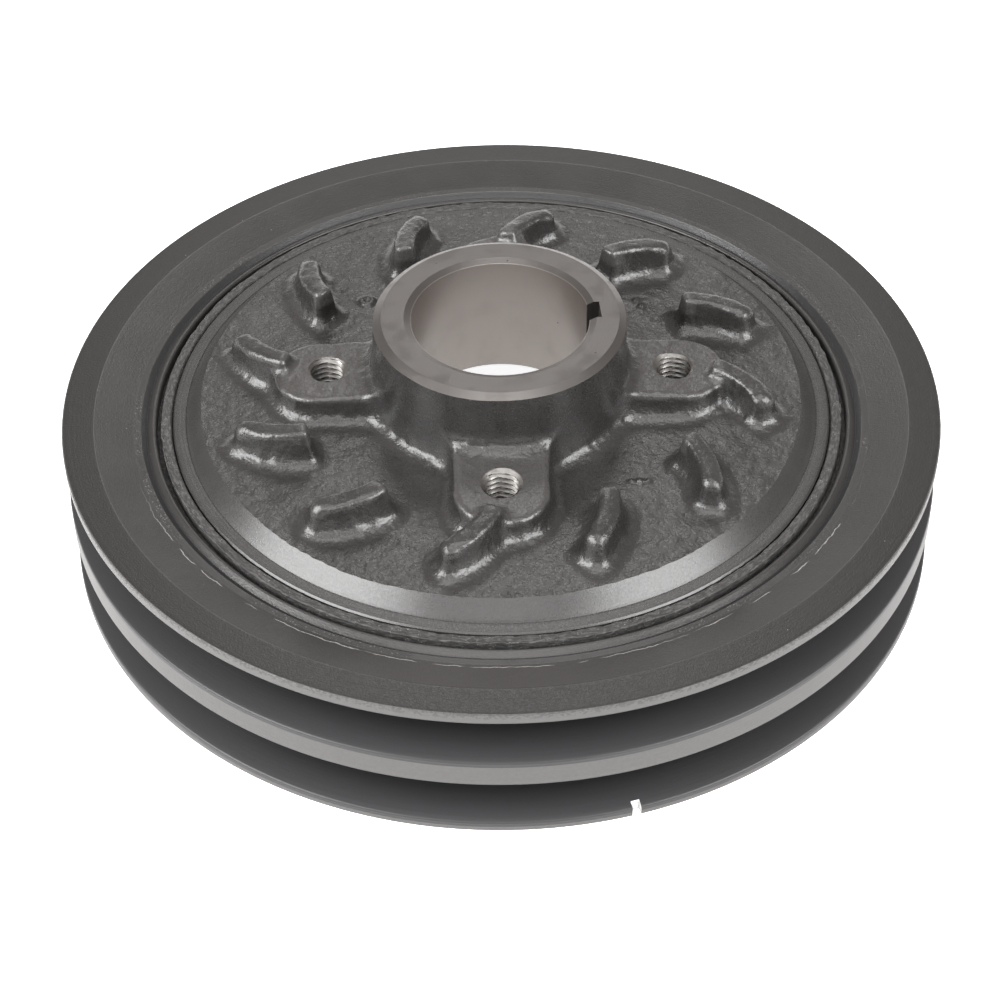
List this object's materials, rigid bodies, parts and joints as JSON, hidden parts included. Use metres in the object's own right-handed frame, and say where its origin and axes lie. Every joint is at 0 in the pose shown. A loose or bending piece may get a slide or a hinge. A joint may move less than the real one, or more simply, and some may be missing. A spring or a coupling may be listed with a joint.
{
  "type": "v belt pulley",
  "caption": "Crankshaft V-belt pulley: cast hub with keyed bore, tapped bosses and slanted cooling vanes, carrying a grooved outer ring on a rubber damper sleeve.",
  "frame": {"origin": "on the pulley's axis, in the plane of the outer ring's rear face, on which the pulley rests", "axes": "+Z along the axis towards the hub's nose (front of the engine); +X five degrees short of the keyway, through a tapped boss"},
  "size_m": [0.18, 0.18, 0.0524],
  "materials": {
    "hub_casting": "satin black paint over cast skin, bare turned metal on nose, bore and threads",
    "rubber": "matt black, rough at its front end",
    "ring_casting": "smooth satin black paint"
  },
  "bodies": {
    "hub": {"hub": "hub_casting", "damper_rubber": "rubber"},
    "ring": {"pulley_ring": "ring_casting"}
  },
  "joints": [
    {"name": "ring_twist", "type": "hinge", "parent": "hub", "child": "ring", "pos_m": [0, 0, 0.016], "axis": [0, 0, 1], "range_deg": [-1, 1], "stiffness_Nm_per_rad": 200, "deforming": ["damper_rubber"]}
  ]
}
